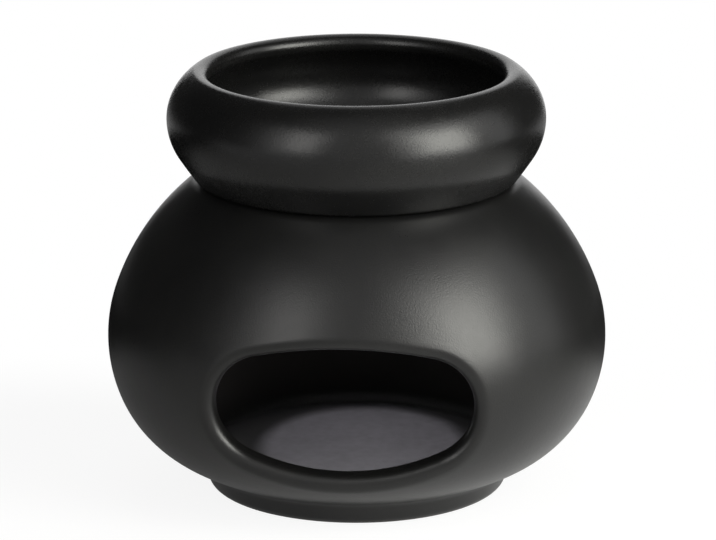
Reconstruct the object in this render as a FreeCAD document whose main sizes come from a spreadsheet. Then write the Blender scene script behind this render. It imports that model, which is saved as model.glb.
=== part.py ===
import FreeCAD, Part
import math
import os
import Sketcher

# Tea-light aroma burner: a hollow squat-globe stand with an oval window, and a lift-off bowl
# with a rolled lip whose foot drops into the stand's mouth. Sizes are in millimetres.
# Origin in the middle of the foot ring's resting plane, +Z up, window towards -Y.

# Driving dimensions. A radius is measured from the vertical axis, a height from the table.
DIMENSIONS = {
    # outer skin of the stand, from the foot up
    "foot_radius": 36.7,
    "crease_radius": 38.6,
    "crease_height": 6.0,
    "belly_radius": 59.42,
    "belly_height": 24.75,
    "widest_radius": 62.0,
    "widest_height": 38.4,
    "shoulder_radius": 59.9,
    "shoulder_height": 50.73,
    "rim_radius": 39.6,
    "seat_height": 78.5,
    # hollow of the stand, from the mouth down
    "mouth_radius": 35.6,
    "throat_height": 75.24,
    "inner_shoulder_radius": 55.18,
    "inner_shoulder_height": 49.08,
    "inner_widest_radius": 57.0,
    "inner_belly_radius": 52.5,
    "inner_belly_height": 24.0,
    "floor_radius": 37.5,
    "floor_height": 8.7,
    # hollow under the stand's floor
    "recess_radius": 31.0,
    "recess_height": 3.4,
    # softened edges of the stand
    "foot_round": 2.6,
    "crease_round": 0.8,
    "recess_round": 1.2,
    "floor_round": 3.0,
    "throat_round": 1.5,
    "mouth_round": 0.8,
    "rim_round": 2.4,
    # window: an oval on a plane just inside the wall, growing to the front by its flare
    "window_back": 44.0,
    "window_front": 64.0,
    "window_flare": 2.0,
    "window_half_width": 30.7,
    "window_top": 49.3,
    "window_widest_height": 34.4,
    "window_bottom": 17.6,
    "window_top_corner": 12.8,
    "window_bottom_corner": 13.5,
    "window_outer_round": 2.6,
    "window_inner_round": 0.7,
    # outer skin of the bowl, from the seat up
    "bowl_base_radius": 39.6,
    "bowl_flank_radius": 44.2,
    "bowl_flank_height": 85.05,
    "bowl_widest_radius": 46.8,
    "bowl_widest_height": 93.7,
    "bowl_brow_radius": 45.66,
    "bowl_brow_height": 99.07,
    "lip_outer_radius": 40.25,
    "lip_outer_height": 105.37,
    # hollow of the bowl, from the lip down
    "lip_inner_radius": 37.71,
    "lip_inner_height": 101.42,
    "inner_brow_radius": 41.37,
    "inner_brow_height": 97.16,
    "inner_bowl_radius": 42.1,
    "inner_flank_radius": 40.28,
    "inner_flank_height": 87.64,
    "bowl_floor_radius": 34.6,
    "bowl_floor_height": 79.0,
    # foot of the bowl
    "spigot_radius": 34.9,
    "spigot_tip_radius": 34.4,
    "spigot_tip_height": 74.2,
    "bowl_recess_radius": 30.0,
    "bowl_recess_height": 75.4,
    # softened edges of the bowl
    "bowl_floor_round": 9.0,
    "bowl_base_round": 1.4,
    "spigot_corner_round": 0.4,
    "spigot_round": 0.8,
    "bowl_recess_round": 0.5,
}

# Half sections, each knot as radius, height and the edge that leaves it. Neighbouring arcs run
# tangent into each other, and stand upright at the knot where the piece is widest.
STAND_OUTLINE = [
    (0, "recess_height", "line"),
    ("recess_radius", "recess_height", "line"),
    ("recess_radius", 0, "line"),
    ("foot_radius", 0, "line"),
    ("crease_radius", "crease_height", "arc"),
    ("belly_radius", "belly_height", "arc"),
    ("widest_radius", "widest_height", "arc"),
    ("shoulder_radius", "shoulder_height", "arc"),
    ("rim_radius", "seat_height", "line"),
    ("mouth_radius", "seat_height", "line"),
    ("mouth_radius", "throat_height", "arc"),
    ("inner_shoulder_radius", "inner_shoulder_height", "arc"),
    ("inner_widest_radius", "widest_height", "arc"),
    ("inner_belly_radius", "inner_belly_height", "arc"),
    ("floor_radius", "floor_height", "line"),
    (0, "floor_height", "line"),
]
BOWL_OUTLINE = [
    (0, "bowl_recess_height", "line"),
    ("bowl_recess_radius", "bowl_recess_height", "line"),
    ("bowl_recess_radius", "spigot_tip_height", "line"),
    ("spigot_tip_radius", "spigot_tip_height", "line"),
    ("spigot_radius", "seat_height", "line"),
    ("bowl_base_radius", "seat_height", "arc"),
    ("bowl_flank_radius", "bowl_flank_height", "arc"),
    ("bowl_widest_radius", "bowl_widest_height", "arc"),
    ("bowl_brow_radius", "bowl_brow_height", "arc"),
    ("lip_outer_radius", "lip_outer_height", "arc"),
    ("lip_inner_radius", "lip_inner_height", "arc"),
    ("inner_brow_radius", "inner_brow_height", "arc"),
    ("inner_bowl_radius", "bowl_widest_height", "arc"),
    ("inner_flank_radius", "inner_flank_height", "line"),
    ("bowl_floor_radius", "bowl_floor_height", "line"),
    (0, "bowl_floor_height", "line"),
]
UPRIGHT_KNOTS = ("widest_radius", "inner_widest_radius", "bowl_widest_radius")

# How a sketch names its own origin, its two axes and the ends and centre of an edge.
ORIGIN_POINT = (-1, 1)
LEVEL_AXIS = -1
UPRIGHT_AXIS = -2
OTHER_END = {1: 2, 2: 1}
ARC_CENTRE = 3
TOUCHING = 1e-3
FULL_TURN = 360


doc = FreeCAD.newDocument("aroma_lamp")
sheet = doc.addObject("Spreadsheet::Sheet", "dims")
for row, (alias, dimension) in enumerate(DIMENSIONS.items(), start=1):
    sheet.set(f"A{row}", alias.replace("_", " "))
    sheet.set(f"B{row}", str(dimension))
    sheet.setAlias(f"B{row}", alias)
doc.recompute()


def cell(alias):
    """A size from the sheet, or 0 where a knot lies on the axis or on the table."""
    return sheet.get(alias) if alias else 0.0


def new_body(label):
    body = doc.addObject("PartDesign::Body", label)
    body.Label = label
    body.Placement = FreeCAD.Placement()
    return body


def new_sketch(body, name):
    """A sketch on the body's own upright plane: its axes are the radius (or +X) and the height."""
    sketch = body.newObject("Sketcher::SketchObject", name)
    planes = [feature for feature in body.Origin.OriginFeatures if feature.Role == "XZ_Plane"]
    sketch.AttachmentSupport = [(planes[0], "")]
    sketch.MapMode = "FlatFace"
    sketch.Visibility = False
    return sketch


def tie(sketch, kind, parts, expression):
    """Adds a dimension whose value follows an expression of the sheet's cells."""
    number = sketch.addConstraint(Sketcher.Constraint(kind, *parts))
    sketch.setExpression(f"Constraints[{number}]", expression)


def end_at(sketch, edge, place):
    """Which end of an edge lies at a place: 1 for its start, 2 for its end."""
    return 1 if sketch.getPoint(edge, 1).distanceToPoint(place) < TOUCHING else 2


def far_heading(heading, chord):
    """Heading at the far end of an arc, from the heading at its near end and its chord."""
    along = FreeCAD.Vector(chord).normalize()
    return along * (2 * heading.dot(along)) - heading


def arc_through(first, last, heading):
    """The arc that leaves the first point along the heading and ends at the last point."""
    along = (last - first).normalize()
    aside = (heading - along * heading.dot(along)).normalize()
    bulge = (last - first).Length / 2 * math.tan(heading.getAngle(along) / 2)
    return Part.Arc(first, (first + last) / 2 + aside * bulge, last)


def arc_headings(outline, places):
    """Heading of each arc at its first knot, carried both ways from the upright knots."""
    chords = [places[(i + 1) % len(places)] - place for i, place in enumerate(places)]
    headings = {}
    for anchor, (radius, _, _) in enumerate(outline):
        if radius not in UPRIGHT_KNOTS:
            continue
        upright = FreeCAD.Vector(0, math.copysign(1, chords[anchor].y), 0)
        heading, i = upright, anchor
        while outline[i][2] == "arc":
            headings[i] = heading
            heading = far_heading(heading, chords[i])
            i += 1
        heading, i = upright, anchor - 1
        while outline[i][2] == "arc":
            heading = far_heading(heading, chords[i])
            headings[i] = heading
            i -= 1
    return headings


def draw_section(sketch, outline):
    """Draws a closed half section and ties every knot to its two cells."""
    places = [FreeCAD.Vector(cell(radius), cell(height), 0) for radius, height, _ in outline]
    headings = arc_headings(outline, places)
    for i, (_, _, kind) in enumerate(outline):
        first, last = places[i], places[(i + 1) % len(places)]
        edge = arc_through(first, last, headings[i]) if kind == "arc" else Part.LineSegment(first, last)
        sketch.addGeometry(edge, False)
    ends = [end_at(sketch, i, place) for i, place in enumerate(places)]
    for i, (radius, height, kind) in enumerate(outline):
        smooth = kind == "arc" and outline[i - 1][2] == "arc"
        before = (i - 1) % len(places)
        joint = (before, OTHER_END[ends[before]], i, ends[i])
        sketch.addConstraint(Sketcher.Constraint("Tangent" if smooth else "Coincident", *joint))
        for kind_of_size, axis, alias in (
            ("DistanceX", UPRIGHT_AXIS, radius),
            ("DistanceY", LEVEL_AXIS, height),
        ):
            if alias:
                tie(sketch, kind_of_size, (*ORIGIN_POINT, i, ends[i], cell(alias)), f"dims.{alias}")
            else:
                sketch.addConstraint(Sketcher.Constraint("PointOnObject", i, ends[i], axis))
        if radius in UPRIGHT_KNOTS:
            sketch.addConstraint(Sketcher.Constraint("Horizontal", i, ARC_CENTRE, i, ends[i]))


def turn_section(body, outline):
    """Turns a half section once round the vertical axis."""
    sketch = new_sketch(body, f"{body.Label}_section")
    draw_section(sketch, outline)
    turned = body.newObject("PartDesign::Revolution", f"{body.Label}_turned")
    turned.Profile = sketch
    turned.ReferenceAxis = (sketch, ["V_Axis"])
    turned.Angle = FULL_TURN
    doc.recompute()


def is_ring(edge):
    """True for a level circle round the vertical axis, whole or in part."""
    curve = edge.Curve
    return isinstance(curve, Part.Circle) and math.hypot(curve.Center.x, curve.Center.y) < TOUCHING


def round_edges(body, name, picked, alias):
    """Rounds the picked edges of the body as it stands."""
    before = body.Tip
    fillet = body.newObject("PartDesign::Fillet", name)
    fillet.Base = (before, [f"Edge{number}" for number in picked])
    fillet.setExpression("Radius", f"dims.{alias}")
    doc.recompute()


def round_ring(body, name, radius, height, alias):
    """Rounds the ring that one knot of the section draws."""
    picked = []
    for number, edge in enumerate(body.Shape.Edges, start=1):
        if is_ring(edge):
            miss = math.hypot(edge.Curve.Radius - cell(radius), edge.Curve.Center.z - cell(height))
            if miss < TOUCHING:
                picked.append(number)
    round_edges(body, name, picked, alias)


def oval_places(growth):
    """Knots of the window's oval, clockwise from its crown: two arcs to each quarter."""
    half_width = cell("window_half_width") + growth
    middle = cell("window_widest_height")
    right_side = []
    for crown_height, corner_alias in (
        (cell("window_top") + growth, "window_top_corner"),
        (cell("window_bottom") - growth, "window_bottom_corner"),
    ):
        corner = cell(corner_alias) + growth
        rise = crown_height - middle
        inset = half_width - corner
        broad = (inset**2 + rise**2 - corner**2) / (2 * (abs(rise) - corner))
        broad_centre = FreeCAD.Vector(0, crown_height - math.copysign(broad, rise), 0)
        corner_centre = FreeCAD.Vector(inset, middle, 0)
        joint = broad_centre + (corner_centre - broad_centre).normalize() * broad
        right_side.append((FreeCAD.Vector(0, crown_height, 0), joint))
    (top, top_joint), (bottom, bottom_joint) = right_side
    widest = FreeCAD.Vector(half_width, middle, 0)
    left_side = [FreeCAD.Vector(-place.x, place.y, 0) for place in (bottom_joint, widest, top_joint)]
    return [top, top_joint, widest, bottom_joint, bottom] + left_side


def draw_oval(body, name, distance, flare):
    """Draws the window's oval on a plane in front of the axis, wider all round by the flare."""
    sketch = new_sketch(body, name)
    sketch.setExpression("AttachmentOffset.Base.z", f"dims.{distance}")
    growth = cell(flare)
    wider = f" + dims.{flare}" if flare else ""
    narrower = f" - dims.{flare}" if flare else ""
    places = oval_places(growth)
    top, _, right, _, bottom, _, left, _ = range(len(places))
    heading = FreeCAD.Vector(1, 0, 0)
    for i, first in enumerate(places):
        last = places[(i + 1) % len(places)]
        sketch.addGeometry(arc_through(first, last, heading), False)
        heading = far_heading(heading, last - first)
    ends = [end_at(sketch, i, place) for i, place in enumerate(places)]
    for i in range(len(places)):
        before = (i - 1) % len(places)
        joint = (before, OTHER_END[ends[before]], i, ends[i])
        sketch.addConstraint(Sketcher.Constraint("Tangent", *joint))
    for i, expression in ((top, f"dims.window_top{wider}"), (bottom, f"dims.window_bottom{narrower}")):
        sketch.addConstraint(Sketcher.Constraint("PointOnObject", i, ends[i], UPRIGHT_AXIS))
        sketch.addConstraint(Sketcher.Constraint("PointOnObject", i, ARC_CENTRE, UPRIGHT_AXIS))
        tie(sketch, "DistanceY", (*ORIGIN_POINT, i, ends[i], places[i].y), expression)
    for i, span in ((right, (*ORIGIN_POINT, right, ends[right])), (left, (left, ends[left], *ORIGIN_POINT))):
        tie(sketch, "DistanceX", (*span, abs(places[i].x)), f"dims.window_half_width{wider}")
        tie(sketch, "DistanceY", (*ORIGIN_POINT, i, ends[i], places[i].y), "dims.window_widest_height")
        sketch.addConstraint(Sketcher.Constraint("Horizontal", i, ARC_CENTRE, i, ends[i]))
    for i, alias in (
        (right - 1, "window_top_corner"),
        (right, "window_bottom_corner"),
        (left - 1, "window_bottom_corner"),
        (left, "window_top_corner"),
    ):
        tie(sketch, "Radius", (i, cell(alias) + growth), f"dims.{alias}{wider}")
    return sketch


def cut_window(body):
    """Cuts the oval tunnel through the front of the wall, widening outwards."""
    loft = body.newObject("PartDesign::SubtractiveLoft", "window")
    loft.Profile = draw_oval(body, "window_back_oval", "window_back", None)
    loft.Sections = [draw_oval(body, "window_front_oval", "window_front", "window_flare")]
    loft.Ruled = True
    body.Tip = loft
    doc.recompute()


def window_edges(body, wall, outward):
    """The window's edges on the outer or on the inner skin of the wall as it was before the cut."""
    picked = []
    for number, edge in enumerate(body.Shape.Edges, start=1):
        middle = edge.valueAt((edge.FirstParameter + edge.LastParameter) / 2)
        in_window = abs(middle.x) < cell("window_half_width") + cell("window_flare")
        in_window = in_window and cell("mouth_radius") < -middle.y
        in_window = in_window and cell("floor_height") < middle.z < cell("window_top") + cell("window_flare")
        if not in_window or is_ring(edge) or isinstance(edge.Curve, Part.Line):
            continue
        step = FreeCAD.Vector(middle.x, middle.y, 0).normalize() * (1 if outward else -1)
        if not wall.isInside(middle + step, TOUCHING, True):
            picked.append(number)
    return picked


# The stand: one slip-cast shell, turned as a section and softened wherever a corner was sponged.
stand = new_body("burner_body")
turn_section(stand, STAND_OUTLINE)
round_ring(stand, "foot_edge", "foot_radius", 0, "foot_round")
round_ring(stand, "foot_crease", "crease_radius", "crease_height", "crease_round")
round_ring(stand, "recess_corner", "recess_radius", "recess_height", "recess_round")
round_ring(stand, "recess_edge", "recess_radius", 0, "recess_round")
round_ring(stand, "floor_corner", "floor_radius", "floor_height", "floor_round")
round_ring(stand, "throat_edge", "mouth_radius", "throat_height", "throat_round")
round_ring(stand, "mouth_edge", "mouth_radius", "seat_height", "mouth_round")
round_ring(stand, "rim_edge", "rim_radius", "seat_height", "rim_round")

# The window is cut through the wall after the skins are finished, and its edges are rounded.
whole_wall = stand.Shape.copy()
cut_window(stand)
round_edges(stand, "window_outer_edge", window_edges(stand, whole_wall, True), "window_outer_round")
round_edges(stand, "window_inner_edge", window_edges(stand, whole_wall, False), "window_inner_round")

# The bowl: a rolled lip over an undercut hollow, a flat seat and a short foot inside the mouth.
bowl = new_body("oil_bowl")
turn_section(bowl, BOWL_OUTLINE)
round_ring(bowl, "bowl_floor_corner", "bowl_floor_radius", "bowl_floor_height", "bowl_floor_round")
round_ring(bowl, "bowl_base_edge", "bowl_base_radius", "seat_height", "bowl_base_round")
round_ring(bowl, "spigot_corner", "spigot_radius", "seat_height", "spigot_corner_round")
round_ring(bowl, "spigot_edge", "spigot_tip_radius", "spigot_tip_height", "spigot_round")
round_ring(bowl, "bowl_recess_edge", "bowl_recess_radius", "spigot_tip_height", "bowl_recess_round")
round_ring(bowl, "bowl_recess_corner", "bowl_recess_radius", "bowl_recess_height", "bowl_recess_round")

for item in doc.Objects:
    if "Invalid" in item.State or "Error" in item.State:
        raise RuntimeError(f"{item.Label} failed: {item.State}")
for body in (stand, bowl):
    if body.Shape.isNull() or not body.Shape.isValid() or len(body.Shape.Solids) != 1:
        raise RuntimeError(f"{body.Label} is not one valid solid")

os.makedirs("parts", exist_ok=True)
for body in (stand, bowl):
    body.Shape.exportStep(f"parts/{body.Label}.step")
    print(f"{body.Label}: {body.Shape.Volume / 1000:.1f} cm3")
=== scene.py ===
import cmath
import math

import bpy
import numpy as np
from mathutils import Matrix, Vector, noise


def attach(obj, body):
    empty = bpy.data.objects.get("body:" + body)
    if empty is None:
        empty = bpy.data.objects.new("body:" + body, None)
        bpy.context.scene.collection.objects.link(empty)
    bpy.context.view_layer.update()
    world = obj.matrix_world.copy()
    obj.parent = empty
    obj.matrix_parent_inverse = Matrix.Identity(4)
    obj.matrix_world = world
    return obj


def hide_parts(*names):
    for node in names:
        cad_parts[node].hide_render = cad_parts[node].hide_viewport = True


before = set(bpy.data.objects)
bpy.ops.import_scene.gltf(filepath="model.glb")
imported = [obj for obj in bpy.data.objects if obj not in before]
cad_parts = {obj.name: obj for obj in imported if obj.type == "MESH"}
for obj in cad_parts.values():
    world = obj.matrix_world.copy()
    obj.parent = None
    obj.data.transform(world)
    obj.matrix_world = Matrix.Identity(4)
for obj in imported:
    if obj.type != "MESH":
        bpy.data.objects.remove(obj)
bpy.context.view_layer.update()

# Camera: a long lens a little over a metre away, level with the eye of somebody seated, turned a
# few degrees off the middle of the window. Lengths are in millimetres, apart from the studio
# lamps', and are turned into metres where an object is made.
MM = 0.001
camera_distance = 1150.0
camera_height = 375.5
camera_turn = math.radians(3.41)
camera_dip = math.radians(15.6)
camera_roll = math.radians(-0.11)
lens_length = 241.43
sensor_width = 36.0
aim_offset = math.radians(0.017)

camera = bpy.data.objects.new("camera", bpy.data.cameras.new("camera"))
camera.data.lens = lens_length
camera.data.sensor_width = sensor_width
camera.data.clip_start = 0.05
camera.data.clip_end = 50.0
camera_place = Vector((math.sin(camera_turn), -math.cos(camera_turn), 0.0)) * camera_distance
camera_place.z = camera_height
camera.matrix_world = (
    Matrix.Translation(camera_place * MM)
    @ Matrix.Rotation(camera_turn - aim_offset, 4, "Z")
    @ Matrix.Rotation(math.pi / 2 - camera_dip, 4, "X")
    @ Matrix.Rotation(camera_roll, 4, "Z")
)
bpy.context.scene.collection.objects.link(camera)
bpy.context.scene.camera = camera


# Stand: one slip-cast shell of dark stoneware, a squat globe on a short foot ring. It is cast in
# a turned mould, so its section is a chain of arcs, and every corner is sponged round. In an
# outline, a number between two stretches is the radius of the corner they meet in.
class Stretch:
    """A straight or evenly bent stretch of a section. A point is radius + height * 1j."""

    def __init__(self, start, end, heading=None):
        self.start = start
        self.chord = end - start
        self.lean = cmath.phase(heading / self.chord) if heading else 0.0
        self.bent = abs(self.lean) > 1e-9

    def point(self, t):
        share = math.sin(self.lean * t) / math.sin(self.lean) if self.bent else t
        return self.start + self.chord * share * cmath.exp(1j * self.lean * (1 - t))

    def heading(self, t):
        return self.chord / abs(self.chord) * cmath.exp(1j * self.lean * (1 - 2 * t))

    def length(self):
        return abs(self.chord) * (self.lean / math.sin(self.lean) if self.bent else 1.0)

    def part(self, first, last):
        return Stretch(self.point(first), self.point(last), self.heading(first))


def arcs_through(knots, widest, upright):
    """Arcs through the knots, tangent where they meet and upright at the widest knot."""
    arcs = [None] * (len(knots) - 1)
    heading = upright
    for i in range(widest, len(arcs)):
        arcs[i] = Stretch(knots[i], knots[i + 1], heading)
        heading = arcs[i].heading(1)
    heading = upright
    for i in reversed(range(widest)):
        heading = -Stretch(knots[i + 1], knots[i], -heading).heading(1)
        arcs[i] = Stretch(knots[i], knots[i + 1], heading)
    return arcs


def lines_through(knots):
    return [Stretch(knot, after) for knot, after in zip(knots, knots[1:])]


def cross(one, other):
    return (one.conjugate() * other).imag


def touching_places(first, second, radius, rounds=12):
    """Where a ball of the radius that lies in the corner touches the two stretches."""
    side = 1j if cross(first.heading(1), second.heading(0)) > 0 else -1j
    spread = 2 * radius * side.imag
    t, u = 1.0, 0.0
    for _ in range(rounds):
        along, onward = first.heading(t), second.heading(u)
        gap = second.point(u) + radius * side * onward - first.point(t) - radius * side * along
        t += cross(onward, gap) / cross(onward, along) / (first.length() + spread * first.lean)
        u -= cross(along, gap) / cross(along, onward) / (second.length() + spread * second.lean)
    return t, u


class Section:
    """A half section from the axis round to the axis, each stretch with its count of rows."""

    def __init__(self, outline):
        self.parts = []
        corner = None
        for shape, count in outline:
            if isinstance(shape, float):
                corner = (shape, count)
                continue
            if corner:
                before, count_before = self.parts.pop()
                t, u = touching_places(before, shape, corner[0])
                rounding = Stretch(before.point(t), shape.point(u), before.heading(t))
                self.parts += [(before.part(0, t), count_before), (rounding, corner[1])]
                shape = shape.part(u, 1)
                corner = None
            self.parts.append((shape, count))
        self.last_row = sum(count for _, count in self.parts)

    def at(self, row):
        """The place at a row, which may lie between two whole rows."""
        for shape, count in self.parts:
            if row <= count:
                return shape.point(row / count)
            row -= count
        return shape.point(1)


seat_height = 78.5
rim_radius, mouth_radius = 39.6, 35.6
widest_radius, widest_height = 62.0, 38.4
wall = 5.0
crease = 38.6 + 6.0j
recess_radius, recess_height = 31.0, 3.4
floor_radius, floor_height = 37.5, 8.7

underside = lines_through(
    [recess_height * 1j, recess_radius + recess_height * 1j, recess_radius + 0j, 36.7 + 0j, crease]
)
outer_skin = arcs_through(
    [
        crease,
        59.42 + 24.75j,
        widest_radius + widest_height * 1j,
        59.9 + 50.73j,
        rim_radius + seat_height * 1j,
    ],
    2,
    1j,
)
inner_skin = arcs_through(
    [
        mouth_radius + 75.24j,
        55.18 + 49.08j,
        widest_radius - wall + widest_height * 1j,
        52.5 + 24.0j,
        floor_radius + floor_height * 1j,
    ],
    2,
    -1j,
)
rim = lines_through(
    [rim_radius + seat_height * 1j, mouth_radius + seat_height * 1j, inner_skin[0].start]
)
chamber_floor = Stretch(floor_radius + floor_height * 1j, floor_height * 1j)

# Radii of the sponged corners, from the recess round to the chamber's floor. The hollow between
# the foot and the belly and the outside of the rim are the broadest, where the light turns softly.
recess_round, ring_round, foot_hollow = 1.2, 2.6, 3.2
rim_round, seat_round, mouth_round, floor_round = 6.0, 0.8, 1.5, 3.0

# The window takes as many rows from the outer skin as from the inner one.
below_window, widest_below, widest_above, above_window = 17, 12, 10, 9
window_rows = below_window + widest_below + widest_above + above_window
foot_rows = [
    (underside[0], 10), (recess_round, 6), (underside[1], 2), (recess_round, 6),
    (underside[2], 4), (ring_round, 9), (underside[3], 3), (foot_hollow, 9),
    (outer_skin[0], 5 + below_window),
]
shoulder_rows = [
    (outer_skin[1], widest_below), (outer_skin[2], widest_above),
    (outer_skin[3], above_window + 20), (rim_round, 12), (rim[0], 4), (seat_round, 7),
    (rim[1], 3), (mouth_round, 7), (inner_skin[0], 25 + above_window),
]
chamber_rows = [
    (inner_skin[1], widest_above), (inner_skin[2], widest_below),
    (inner_skin[3], below_window + 6), (floor_round, 8), (chamber_floor, 16),
]
stand_section = Section(foot_rows + shoulder_rows + chamber_rows)
outer_low = sum(count for _, count in foot_rows) - below_window
outer_high = outer_low + window_rows
inner_high = sum(count for _, count in foot_rows + shoulder_rows) - above_window
inner_low = inner_high + window_rows

# Window: an oval cut through the leather-hard wall with a blade that leans outwards, then
# sponged, so that it widens to the front and has soft edges. It is drawn on an upright plane
# between the axis and the wall, clockwise from below as seen from inside, in x + height * 1j.
window_half_width, window_widest_height = 30.7, 34.4
window_crowns = ((17.6, 13.5), (49.3, 12.8))  # the height of each, and its corners' radius
blade_plane, blade_lean = 44.0, 0.1
window_outer_round, window_inner_round = 2.6, 0.7
arc_samples = 240

quarter = []
for crown, corner in window_crowns:
    rise = crown - window_widest_height
    inset = window_half_width - corner
    broad = (inset**2 + rise**2 - corner**2) / (2 * (abs(rise) - corner))
    broad_centre = (crown - math.copysign(broad, rise)) * 1j
    to_corner = inset + window_widest_height * 1j - broad_centre
    quarter.append((crown * 1j, broad_centre + to_corner / abs(to_corner) * broad))
(bottom, low_joint), (top, high_joint) = quarter
right_side = [bottom, low_joint, window_half_width + window_widest_height * 1j, high_joint, top]
oval_knots = right_side + [-knot.conjugate() for knot in reversed(right_side[:-1])]
heading = 1 + 0j
oval, oval_outward = [], []
for knot, after in zip(oval_knots, oval_knots[1:]):
    arc = Stretch(knot, after, heading)
    heading = arc.heading(1)
    for i in range(arc_samples):
        oval.append(arc.point(i / arc_samples))
        oval_outward.append(-1j * arc.heading(i / arc_samples))
oval, oval_outward = np.array(oval), np.array(oval_outward)


class Skin:
    """One skin of the wall by height: its radius, its slope and its row."""

    samples, slope_reach, blade_rounds = 4000, 0.1, 40

    def __init__(self, section, low_row, high_row):
        self.rows = np.linspace(low_row, high_row, self.samples)
        places = np.array([section.at(row) for row in self.rows])
        self.heights, self.radii = places.imag, places.real

    def radius(self, height):
        return np.interp(height, self.heights, self.radii)

    def row(self, height):
        return np.interp(height, self.heights, self.rows)

    def outward(self, point):
        """Unit normals at points on the skin, away from the axis."""
        above = self.radius(point[:, 2] + self.slope_reach)
        below = self.radius(point[:, 2] - self.slope_reach)
        slope = (above - below) / (2 * self.slope_reach)
        level = point[:, :2] / np.linalg.norm(point[:, :2], axis=1)[:, None]
        return unit(np.column_stack([level, -slope]))

    def blade_point(self, oval_point, lean):
        """Where the blade's line through each point of the oval meets the skin."""
        depth = np.full(len(oval_point), blade_plane)
        for _ in range(self.blade_rounds):
            place = oval_point + lean * blade_lean * (depth - blade_plane)
            depth = np.sqrt(self.radius(place.imag) ** 2 - place.real**2)
        return np.column_stack([place.real, -depth, place.imag])


def unit(vectors):
    return vectors / np.linalg.norm(vectors, axis=1)[:, None]


outer = Skin(stand_section, outer_low, outer_high)
inner = Skin(stand_section, inner_low, inner_high)

columns = 256
half_window_columns = 30
column_turn = 2 * math.pi / columns
window_columns = 2 * half_window_columns


def frame_loop(low_row, high_row):
    """Grid places round the window, anticlockwise from the low left corner seen from outside."""
    step = 1 if high_row > low_row else -1
    loop = [(low_row, column) for column in range(window_columns)]
    loop += [(row, window_columns) for row in range(low_row, high_row, step)]
    loop += [(high_row, column) for column in range(window_columns, 0, -1)]
    loop += [(row, 0) for row in range(high_row, low_row, -step)]
    return loop


def polar_angle(across, height):
    return np.arctan2(height - window_widest_height, across)


outer_loop = frame_loop(outer_low, outer_high)
inner_loop = frame_loop(inner_low, inner_high)
loop_angle = [
    polar_angle(
        (column - half_window_columns) * column_turn * widest_radius, stand_section.at(row).imag
    )
    for row, column in outer_loop
]
first_cut = outer.blade_point(oval, oval_outward)
cut_angle = polar_angle(
    np.arctan2(first_cut[:, 0], -first_cut[:, 1]) * widest_radius, first_cut[:, 2]
)


def at_loop(values):
    """The oval's values where the places of the loop lie, as seen from the window's middle."""
    order = np.argsort(cut_angle)
    angles = cut_angle[order]
    across = np.interp(loop_angle, angles, values[order].real, period=2 * math.pi)
    upwards = np.interp(loop_angle, angles, values[order].imag, period=2 * math.pi)
    return across + 1j * upwards


loop_oval, loop_outward = at_loop(oval), at_loop(oval_outward)


def rounded_edge(skin, radius, inwards, steps):
    """Loops of points over a softened edge, from the skin to the cut face."""
    corner = skin.blade_point(loop_oval, loop_outward)
    along = unit(np.roll(corner, -1, axis=0) - np.roll(corner, 1, axis=0))
    cut = np.column_stack(
        [-loop_outward.real * blade_lean, np.ones(len(corner)), -loop_outward.imag * blade_lean]
    )
    cut = unit(cut - along * (cut * along).sum(1)[:, None]) * inwards
    away = unit(np.cross(along, skin.outward(corner)))
    half_corner = np.arccos((away * cut).sum(1)) / 2
    reach = (radius / np.tan(half_corner))[:, None]
    on_skin, on_cut = corner + away * reach, corner + cut * reach
    level = unit(on_skin[:, :2]) * skin.radius(on_skin[:, 2])[:, None]
    on_skin = np.column_stack([level, on_skin[:, 2]])
    weight = np.sin(half_corner)[:, None]
    loops = []
    for step in range(steps + 1):
        u = step / steps
        parts = ((1 - u) ** 2, 2 * u * (1 - u) * weight, u**2)
        loops.append((parts[0] * on_skin + parts[1] * corner + parts[2] * on_cut) / sum(parts))
    return loops


def turned(place, turn):
    """A place of the section, turned from the window's middle towards +x."""
    return place.real * math.sin(turn), -place.real * math.cos(turn), place.imag


def skin_loops(skin, frame_places, edge, steps):
    """Loops of points on the skin between the grid and the window's edge, both left out."""
    turn = np.array([(column - half_window_columns) * column_turn for _, column in frame_places])
    row = np.array([float(place[0]) for place in frame_places])
    edge_turn = np.arctan2(edge[:, 0], -edge[:, 1])
    edge_row = skin.row(edge[:, 2])
    loops = []
    for step in range(1, steps):
        share = step / steps
        turns = turn + (edge_turn - turn) * share
        places = [stand_section.at(r) for r in row + (edge_row - row) * share]
        loops.append(np.array([turned(place, t) for place, t in zip(places, turns)]))
    return loops


outer_edge_steps, cut_steps, inner_edge_steps, skin_steps = 8, 6, 6, 11
outer_edge = rounded_edge(outer, window_outer_round, 1, outer_edge_steps)
inner_edge = rounded_edge(inner, window_inner_round, -1, inner_edge_steps)[::-1]
cut_face = [
    outer_edge[-1] + (inner_edge[0] - outer_edge[-1]) * step / cut_steps
    for step in range(1, cut_steps)
]
window_loops = skin_loops(outer, outer_loop, outer_edge[0], skin_steps) + outer_edge + cut_face
window_loops += inner_edge + skin_loops(inner, inner_loop, inner_edge[-1], skin_steps)[::-1]


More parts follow.
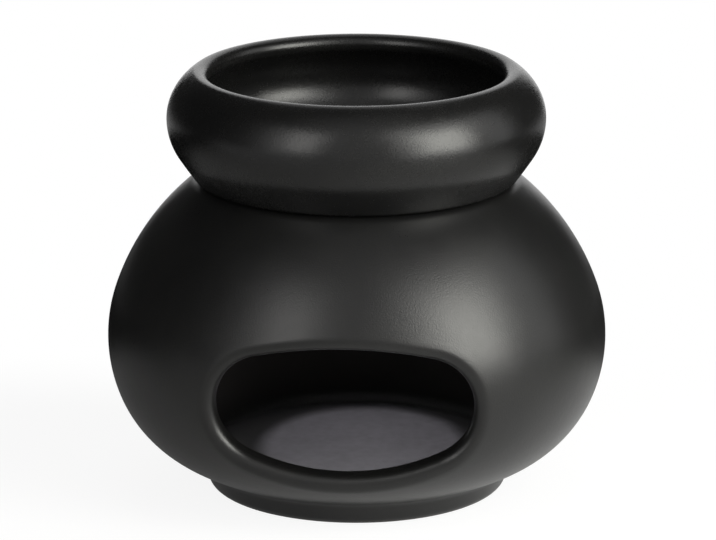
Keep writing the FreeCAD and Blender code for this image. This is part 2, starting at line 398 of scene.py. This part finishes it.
# Shell: rows round the axis, with the window's loops sewn in between the two skins. Cast and
# fired clay is never quite even, so its surface dips a little here and there.
class TurnedMesh:
    """Rows of points round the axis, with a single point where the section meets the axis."""

    def __init__(self, section):
        self.points, self.faces, self.grid = [], [], []
        for row in range(section.last_row + 1):
            place = section.at(row)
            if abs(place.real) < 1e-6:
                self.grid.append(self.add_points([(0.0, 0.0, place.imag)]) * columns)
            else:
                turns = [(column - half_window_columns) * column_turn for column in range(columns)]
                self.grid.append(self.add_points([turned(place, turn) for turn in turns]))

    def add_points(self, points):
        """Adds points and returns their numbers."""
        first = len(self.points)
        self.points += [tuple(point) for point in points]
        return list(range(first, len(self.points)))

    def fill(self, left_out=()):
        """Faces between the rows, apart from openings, each given by its rows and its columns."""
        for row, (low, high) in enumerate(zip(self.grid, self.grid[1:])):
            for column in range(columns):
                if not any(row in rows and column in across for rows, across in left_out):
                    after = (column + 1) % columns
                    corners = [low[column], low[after], high[after], high[column]]
                    self.faces.append(list(dict.fromkeys(corners)))

    def sew(self, loops):
        """Joins loops of point numbers, each to the next."""
        for near, far in zip(loops, loops[1:]):
            for i in range(len(near)):
                j = (i + 1) % len(near)
                self.faces.append([near[i], near[j], far[j], far[i]])

    def make(self, name, seed):
        """The piece, a little uneven, with the sharpness of its edges kept for the glaze."""
        uneven_by, uneven_over = 0.07, 24.0
        used = sorted({corner for face in self.faces for corner in face})
        number = {old: new for new, old in enumerate(used)}
        settled = []
        for old in used:
            point = Vector(self.points[old])
            hill = 0.5 + 0.5 * noise.noise(point / uneven_over + Vector((seed, 0.0, 0.0)))
            shrink = 1.0 - uneven_by * hill / max(point.xy.length, mouth_radius / 2)
            settled.append((point.x * shrink, point.y * shrink, point.z))
        mesh = bpy.data.meshes.new(name)
        faces = [[number[corner] for corner in face] for face in self.faces]
        mesh.from_pydata(settled, [], faces)
        mesh.shade_smooth()
        sharpness = edge_sharpness(mesh)
        mesh.attributes.new("sharpness", "FLOAT", "POINT").data.foreach_set("value", sharpness)
        mesh.transform(Matrix.Scale(MM, 4))
        piece = bpy.data.objects.new(name, mesh)
        bpy.context.scene.collection.objects.link(piece)
        return piece


def edge_sharpness(mesh):
    """How tightly the surface bends outwards at each point, as one over the radius in mm."""
    points = np.empty(len(mesh.vertices) * 3)
    mesh.vertices.foreach_get("co", points)
    points = points.reshape(-1, 3)
    normals = np.empty(points.size)
    mesh.vertex_normals.foreach_get("vector", normals)
    normals = normals.reshape(-1, 3)
    ends = np.empty(len(mesh.edges) * 2, dtype=int)
    mesh.edges.foreach_get("vertices", ends)
    ends = ends.reshape(-1, 2)
    sharpness = np.zeros(len(points))
    for near, far in (ends.T, ends.T[::-1]):
        reach = points[near] - points[far]
        bend = 2 * (normals[near] * reach).sum(1) / (reach**2).sum(1)
        np.maximum.at(sharpness, near, bend)
    return sharpness


globe = TurnedMesh(stand_section)
window_across = range(window_columns)
globe.fill(
    [(range(outer_low, outer_high), window_across), (range(inner_high, inner_low), window_across)]
)
globe.sew(
    [[globe.grid[row][column] for row, column in outer_loop]]
    + [globe.add_points(loop) for loop in window_loops]
    + [[globe.grid[row][column] for row, column in inner_loop]]
)
stand = globe.make("globe_stand", 0.0)
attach(stand, "stand")
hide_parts("burner_body")


# Satin black glaze, sprayed over dark stoneware and fired: all but neutral, faintly mottled with
# olive and brown, with the fine grain of a half matt glaze, mineral flecks and a few pinholes. It
# thins to brown over the edges, and the clay is wiped bare where the piece stands in the kiln.
class Wire:
    """A socket that can stand in a sum: each operator adds the Math node for it."""

    def __init__(self, finish, socket):
        self.finish, self.socket = finish, socket

    def maths(self, operation, *numbers):
        return self.finish.node("Math", {"operation": operation}, dict(enumerate(numbers)))

    def __add__(self, other):
        return self.maths("ADD", self, other)

    def __sub__(self, other):
        return self.maths("SUBTRACT", self, other)

    def __mul__(self, other):
        return self.maths("MULTIPLY", self, other)

    def __truediv__(self, other):
        return self.maths("DIVIDE", self, other)

    def __rsub__(self, other):
        return self.maths("SUBTRACT", other, self)

    def __rtruediv__(self, other):
        return self.maths("DIVIDE", other, self)

    __radd__, __rmul__ = __add__, __mul__


class Finish:
    """The nodes of a material or of the world, and what is made of them."""

    def __init__(self, owner):
        owner.use_nodes = True
        self.owner, self.nodes, self.links = owner, owner.node_tree.nodes, owner.node_tree.links
        self.nodes.clear()

    def node(self, kind, settings, sockets, output=0):
        made = self.nodes.new("ShaderNode" + kind)
        for setting, value in settings.items():
            setattr(made, setting, value)
        for socket, value in sockets.items():
            if isinstance(value, Wire):
                self.links.new(value.socket, made.inputs[socket])
            else:
                made.inputs[socket].default_value = value
        return Wire(self, made.outputs[output]) if made.outputs else made

    def vector(self, operation, first, second, output=0):
        """Vector Math on two vectors."""
        return self.node("VectorMath", {"operation": operation}, {0: first, 1: second}, output)

    def length(self, vector):
        """A vector's length, in mm."""
        return self.node("VectorMath", {"operation": "LENGTH"}, {0: vector}, "Value") / MM

    def place(self):
        """The surface point in the piece's own frame, in metres."""
        return self.node("TexCoord", {}, {}, "Object")

    def cloud(self, size, detail, shift=0.0):
        """Soft random patches of about a size in mm, from 0 to 1."""
        spot = self.vector("ADD", self.place(), (shift,) * 3)
        sockets = {"Vector": spot, "Scale": 1 / (size * MM), "Detail": detail, "Roughness": 0.55}
        return self.node("TexNoise", {}, sockets, "Fac")

    def rise(self, value, low, high):
        """A smooth step from 0 to 1, or from 1 to 0 where low is more than high."""
        ends = (0.0, 1.0) if low < high else (1.0, 0.0)
        sockets = {"Value": value, "From Min": min(low, high), "From Max": max(low, high)}
        sockets |= {"To Min": ends[0], "To Max": ends[1]}
        return self.node("MapRange", {"interpolation_type": "SMOOTHSTEP"}, sockets)

    def blend(self, share, first, second):
        """A colour between two others."""
        settings = {"data_type": "RGBA"}
        return self.node("Mix", settings, {0: share, 6: first, 7: second}, 2)

    def height(self):
        return self.node("SeparateXYZ", {}, {0: self.place()}, "Z") / MM

    def radius(self):
        return self.length(self.vector("MULTIPLY", self.place(), (1, 1, 0)))

    def facing_axis(self):
        """How much the surface faces the axis: 1 on the wall of a hollow, 0 on level ground."""
        level = self.vector("MULTIPLY", self.place(), (-1, -1, 0))
        to_axis = self.node("VectorMath", {"operation": "NORMALIZE"}, {0: level})
        return self.vector("DOT_PRODUCT", self.node("TexCoord", {}, {}, "Normal"), to_axis, "Value")

    def speck(self, spacing, radius, shift):
        """Round specks of a radius in mm, 1 in their middles, in about one cell out of four."""
        spot = self.vector("ADD", self.place(), (shift,) * 3)
        sockets = {"Vector": spot, "Scale": 1 / (spacing * MM), "Randomness": 1.0}
        distance = self.node("TexVoronoi", {"feature": "F1"}, sockets, "Distance")
        cell = self.node("TexVoronoi", {"feature": "F1"}, sockets, "Color")
        lot = self.node("SeparateColor", {}, {0: cell}, 0)
        edge, middle = radius / spacing, radius / spacing / 3
        return self.rise(distance, edge, middle) * self.rise(lot, 0.72, 0.8)

    def surface(self, shader):
        self.node("OutputMaterial", {}, {"Surface": shader})
        return self.owner


def glaze(name, gloss, haze, tooth, bare_to, glazed_from, floor=None):
    """The black glaze: its roughness, its haze, the height of its grain in mm, the heights
    between which it begins, and the height of the chamber's floor in a piece that has one."""
    black, olive = (0.0042, 0.0042, 0.0042, 1), (0.0055, 0.0055, 0.0052, 1)
    brown, fleck = (0.011, 0.0096, 0.0082, 1), (0.022, 0.021, 0.019, 1)
    clay = (0.045, 0.038, 0.033, 1)

    finish = Finish(bpy.data.materials.new(name))
    sharpness = finish.node("Attribute", {"attribute_name": "sharpness"}, {}, "Fac")
    broad, fine = finish.cloud(16.0, 3.0), finish.cloud(2.2, 2.0, 0.3)
    grain = finish.cloud(0.38, 2.0, 0.5)
    pinhole, mineral = finish.speck(4.5, 0.16, 0.1), finish.speck(3.1, 0.22, 0.7)
    thin = finish.rise(sharpness + (fine - 0.5) * 0.5, 0.3, 1.3)

    colour = finish.blend(finish.rise(broad, 0.3, 0.7), black, olive)
    colour = finish.blend(thin * 0.7, colour, brown)
    colour = finish.blend(mineral * 0.5, colour, fleck)
    rough = gloss + (broad - 0.5) * 0.08 + (fine - 0.5) * 0.06 + (grain - 0.5) * 0.1 + thin * 0.04
    if floor:
        colour, rough = chamber_glaze(finish, floor, broad, fine, colour, rough)
    wiped = finish.rise(finish.height() + (fine - 0.5) * 0.5, glazed_from, bare_to)
    colour = finish.blend(wiped, colour, clay)
    rough = rough + wiped * 0.35

    relief = grain * tooth + fine * tooth * 0.3 - pinhole * 0.02 + wiped * grain * 0.05
    bump = finish.node("Bump", {}, {"Height": relief, "Distance": MM, "Strength": 1.0})
    sockets = {"Base Color": colour, "Roughness": rough, "Normal": bump, "IOR": 1.5}
    # Fine crystals in the glaze scatter a weak, broad haze round each highlight.
    sockets |= {"Coat Weight": haze * (0.4 + broad * 0.4 + grain * 0.8)}
    sockets |= {"Coat Roughness": 0.6, "Coat IOR": 1.28}
    return finish.surface(finish.node("BsdfPrincipled", {}, sockets))


def chamber_glaze(finish, floor, broad, fine, colour, rough):
    """The glaze inside the chamber: greyer on the wall, a matt disc in the middle of the floor that
    is also painted lighter where the pool of light falls, and a thin painted highlight round the
    floor's edge."""
    lining_grey, matt_and_lit_grey = (0.060, 0.055, 0.053, 1), (0.095, 0.090, 0.102, 1)
    painted_highlight_colour = (0.014, 0.0145, 0.016, 1)
    disc_shift, disc_squeeze, disc_full, disc_end = 1.5, (1.22, 0.95, 0), 27.0, 34.5
    highlight_inside, highlight_outside, highlight_soft = 33.7, 35.3, 0.6

    lining = finish.rise(finish.facing_axis(), 0.55, 0.8)
    lining = lining * finish.rise(finish.height(), floor - 1.0, floor + 1.0)
    colour = finish.blend(lining, colour, lining_grey)
    rough = rough + lining * 0.25

    # Painted light: the middle of the floor is a matt finish, and it is also painted lighter in a
    # soft disc, a little off the middle, where the pool of light falls.
    above_recess = finish.rise(finish.height(), floor - 2.0, floor - 1.0)
    matt_and_lit = finish.rise(finish.height() + (broad - 0.5) * 0.6, floor + 0.9, floor + 0.3)
    matt_and_lit = matt_and_lit * above_recess
    from_middle = finish.vector("SUBTRACT", finish.place(), (disc_shift * MM, 0, 0))
    out = finish.length(finish.vector("MULTIPLY", from_middle, disc_squeeze))
    lit_disc = finish.rise(out + (broad - 0.5) * 3.0, disc_end, disc_full)
    matt_and_lit = matt_and_lit * (0.06 + lit_disc * 0.94)
    patchy = 0.86 + (fine - 0.5) * 0.7 + (broad - 0.5) * 0.5
    colour = finish.blend(matt_and_lit * patchy, colour, matt_and_lit_grey)
    rough = rough + matt_and_lit * 0.3

    # Painted highlight: a thin light ring round the floor's edge, where its rounded corner would
    # catch the light.
    painted_highlight = finish.rise(finish.radius(), highlight_inside, highlight_inside + highlight_soft)
    painted_highlight = painted_highlight * finish.rise(finish.radius(), highlight_outside, highlight_outside - highlight_soft)
    painted_highlight = painted_highlight * finish.rise(finish.height(), floor + 0.9, floor + 0.5) * above_recess
    return finish.blend(painted_highlight, colour, painted_highlight_colour), rough


stand.data.materials.append(
    glaze("stand_satin_glaze", 0.315, 0.8, 0.042, bare_to=0.4, glazed_from=0.9, floor=floor_height)
)


# Bowl: a deep saucer whose lip rolls out and back over the hollow, slip-cast of the same clay and
# glazed a little glossier. It lifts off: its flat seat rests on the stand's rim, and a short
# spigot, wiped bare at its tip, keeps it centred in the mouth.
bowl_base_radius, bowl_widest_radius = rim_radius, 46.8
bowl_widest_height = 93.7
spigot_radius, spigot_tip = mouth_radius - 0.7, 34.4 + 74.2j
bowl_recess_radius, bowl_recess_height = 30.0, 75.4
bowl_floor_radius, bowl_floor_height = 34.6, 79.0
bowl_recess_round, spigot_round, seat_corner, base_round, basin_round = 0.5, 0.8, 0.4, 2.4, 9.0

bowl_underside = lines_through(
    [
        bowl_recess_height * 1j,
        bowl_recess_radius + bowl_recess_height * 1j,
        bowl_recess_radius + spigot_tip.imag * 1j,
        spigot_tip,
        spigot_radius + seat_height * 1j,
        bowl_base_radius + seat_height * 1j,
    ]
)
roll = arcs_through(
    [
        bowl_base_radius + seat_height * 1j,
        44.2 + 85.05j,
        bowl_widest_radius + bowl_widest_height * 1j,
        45.66 + 99.07j,
        40.25 + 105.37j,
        37.71 + 101.42j,
        41.37 + 97.16j,
        42.1 + bowl_widest_height * 1j,
        40.28 + 87.64j,
    ],
    2,
    1j,
)
basin = lines_through(
    [roll[-1].point(1), bowl_floor_radius + bowl_floor_height * 1j, bowl_floor_height * 1j]
)
bowl_section = Section(
    [
        (bowl_underside[0], 10), (bowl_recess_round, 5), (bowl_underside[1], 2),
        (bowl_recess_round, 5), (bowl_underside[2], 3), (spigot_round, 7), (bowl_underside[3], 4),
        (seat_corner, 5), (bowl_underside[4], 4), (base_round, 9), (roll[0], 12), (roll[1], 14),
        (roll[2], 12), (roll[3], 20), (roll[4], 18), (roll[5], 14), (roll[6], 8), (roll[7], 12),
        (basin[0], 10), (basin_round, 16), (basin[1], 14),
    ]
)
saucer = TurnedMesh(bowl_section)
saucer.fill()
bowl = saucer.make("lift_off_bowl", 5.0)
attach(bowl, "bowl")
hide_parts("oil_bowl")
bare_tip, glazed_spigot = spigot_tip.imag + 0.3, spigot_tip.imag + 0.8
bowl.data.materials.append(glaze("bowl_satin_glaze", 0.26, 0.5, 0.035, bare_tip, glazed_spigot))


# Table: a sheet of paper under the object. To the camera it is all but white, keeps the object's
# soft shadow and runs on into white. To every other ray it is small, glows a little to the right
# and in front, as lit paper does, and ends in the dark of the room.
table_edge, table_fade = 160.0, 480.0
table_back, table_back_fade = 50.0, 110.0
table_half_side, table_end = 2500.0, 300.0
shadow_tone, paper_tone = (0.18, 0.18, 0.18, 1), (0.50, 0.50, 0.50, 1)
seen_glow, under_glow, ahead_glow = 0.885, 0.36, 0.38
white_light = (1, 1, 1, 1)

table_mesh = bpy.data.meshes.new("table")
side, end = table_half_side * MM, table_end * MM
just_below = -0.05 * MM
table_mesh.from_pydata(
    [(x, y, just_below) for x, y in ((-side, -side), (side, -side), (side, end), (-side, end))],
    [],
    [(0, 1, 2, 3)],
)
table = bpy.data.objects.new("table", table_mesh)
bpy.context.scene.collection.objects.link(table)

sheet = Finish(bpy.data.materials.new("table_sheet"))
seen = sheet.node("LightPath", {}, {}, "Is Camera Ray")
from_under = sheet.node("NewGeometry", {}, {}, "Backfacing")
across = sheet.node("SeparateXYZ", {}, {0: sheet.place()}, "X") / MM
depth = sheet.node("SeparateXYZ", {}, {0: sheet.place()}, "Y") / MM
paper = sheet.node("BsdfDiffuse", {}, {"Color": sheet.blend(seen, paper_tone, shadow_tone)})
under = sheet.rise(across, -100.0, 80.0) * sheet.rise(sheet.radius(), 210.0, 50.0)
glow = under * under_glow * (1 - seen) + seen * seen_glow
lit = sheet.node("Emission", {}, {"Color": white_light, "Strength": glow})
near = sheet.node("AddShader", {}, {0: paper, 1: lit})
glow = sheet.rise(depth, 60.0, -160.0) * ahead_glow * (1 - seen) + seen
far = sheet.node("Emission", {}, {"Color": white_light, "Strength": glow})
inside = sheet.rise(sheet.radius(), table_fade, table_edge)
inside = inside * sheet.rise(depth, table_back_fade, table_back)
top = sheet.node("MixShader", {}, {0: 1 - inside, 1: near, 2: far})
clear = sheet.node("BsdfTransparent", {}, {})
both_sides = sheet.node("MixShader", {}, {0: from_under, 1: top, 2: clear})
table_mesh.materials.append(sheet.surface(both_sides))


# Studio: a large soft lamp to the right and a smaller one to the left in front of the object,
# each with a fainter and wider halo, a faint glow from the front, the far right and above, and a
# lit backdrop behind.
lamps_aim = Vector((0.0, 0.0, 0.055))


def soft_lamp(name, azimuth, elevation, distance, width, height, radiance, colour=(1.0, 1.0, 1.0)):
    """A lamp aimed at the object. Its azimuth runs from the window's side towards +x, in degrees,
    and its distance and sides are in metres."""
    lamp = bpy.data.lights.new(name, "AREA")
    lamp.shape = "RECTANGLE"
    lamp.size, lamp.size_y = width, height
    lamp.energy = radiance * math.pi * width * height
    lamp.color = colour
    turn, climb = math.radians(azimuth), math.radians(elevation)
    level = math.cos(climb)
    aim = Vector((math.sin(turn) * level, -math.cos(turn) * level, math.sin(climb)))
    facing = aim.to_track_quat("Z", "Y").to_matrix().to_4x4()
    holder = bpy.data.objects.new(name, lamp)
    holder.matrix_world = Matrix.Translation(lamps_aim + aim * distance) @ facing
    holder.visible_camera = False
    bpy.context.scene.collection.objects.link(holder)


soft_lamp("key_lamp", 57.0, 20.5, 0.55, 0.28, 0.34, 5.6, (1.0, 1.0, 0.92))
soft_lamp("key_halo", 54.5, 22.0, 0.57, 0.50, 0.60, 2.0, (1.0, 0.99, 0.97))
soft_lamp("left_lamp", -29.0, 26.0, 0.55, 0.16, 0.34, 2.2, (1.0, 0.98, 0.95))
soft_lamp("left_halo", -36.0, 24.0, 0.57, 0.32, 0.50, 0.5)
soft_lamp("front_glow", 2.0, 27.0, 0.9, 0.5, 0.95, 0.1)
soft_lamp("right_glow", 97.0, 18.0, 0.8, 0.3, 0.7, 0.9)
soft_lamp("top_glow", 15.0, 66.0, 0.9, 0.7, 0.5, 0.15)
soft_lamp("backdrop", 181.0, 16.0, 0.75, 0.5, 0.7, 1.1)
soft_lamp("back_top", 180.0, 58.0, 0.8, 0.6, 0.5, 0.6)


# Chamber lamps: a small one under the bowl gives the pool of light that lies on the floor, and a
# fainter one to the left the light that reaches the wall.
def chamber_lamp(name, kind, place, radius, radiance):
    """A small lamp. The radiance is what white ground right below it, at the floor, would show."""
    lamp = bpy.data.lights.new(name, kind)
    lamp.shadow_soft_size = radius * MM
    lamp.energy = radiance * 4 * math.pi * ((place[2] - floor_height) * MM) ** 2 * math.pi
    holder = bpy.data.objects.new(name, lamp)
    holder.location = Vector(place) * MM
    bpy.context.scene.collection.objects.link(holder)
    return lamp


pool_place, pool_reach = (0.5, 0.5, 72.0), 36.2
fill_place = (-37.0, 12.0, 28.0)
pool = chamber_lamp("chamber_pool", "SPOT", pool_place, 5.0, 0.82)
pool.spot_size = 2 * math.atan(pool_reach / (pool_place[2] - floor_height))
pool.spot_blend = 0.1
chamber_lamp("chamber_fill", "POINT", fill_place, 6.0, 0.12)


# Room: what shines on the object past the table and the lamps is dark, a little lighter from
# below and from the front. The camera sees it as white.
room_dark, room_low_glow, room_front_glow = 0.02, 0.45, 0.27
room = Finish(bpy.data.worlds.new("room"))
bpy.context.scene.world = room.owner
camera_ray = room.node("LightPath", {}, {}, "Is Camera Ray")
towards = room.node("TexCoord", {}, {}, "Generated")
upward = room.node("SeparateXYZ", {}, {0: towards}, "Z")
backward = room.node("SeparateXYZ", {}, {0: towards}, "Y")
low = room.rise(upward, -0.05, -0.3) * room_low_glow
front = room.rise(backward, -0.1, -0.8) * room_front_glow
strength = (room_dark + low + front) * (1 - camera_ray) + camera_ray
backdrop = room.node("Background", {}, {"Color": white_light, "Strength": strength})
room.node("OutputWorld", {}, {"Surface": backdrop})

bpy.context.scene.view_settings.view_transform = "Standard"
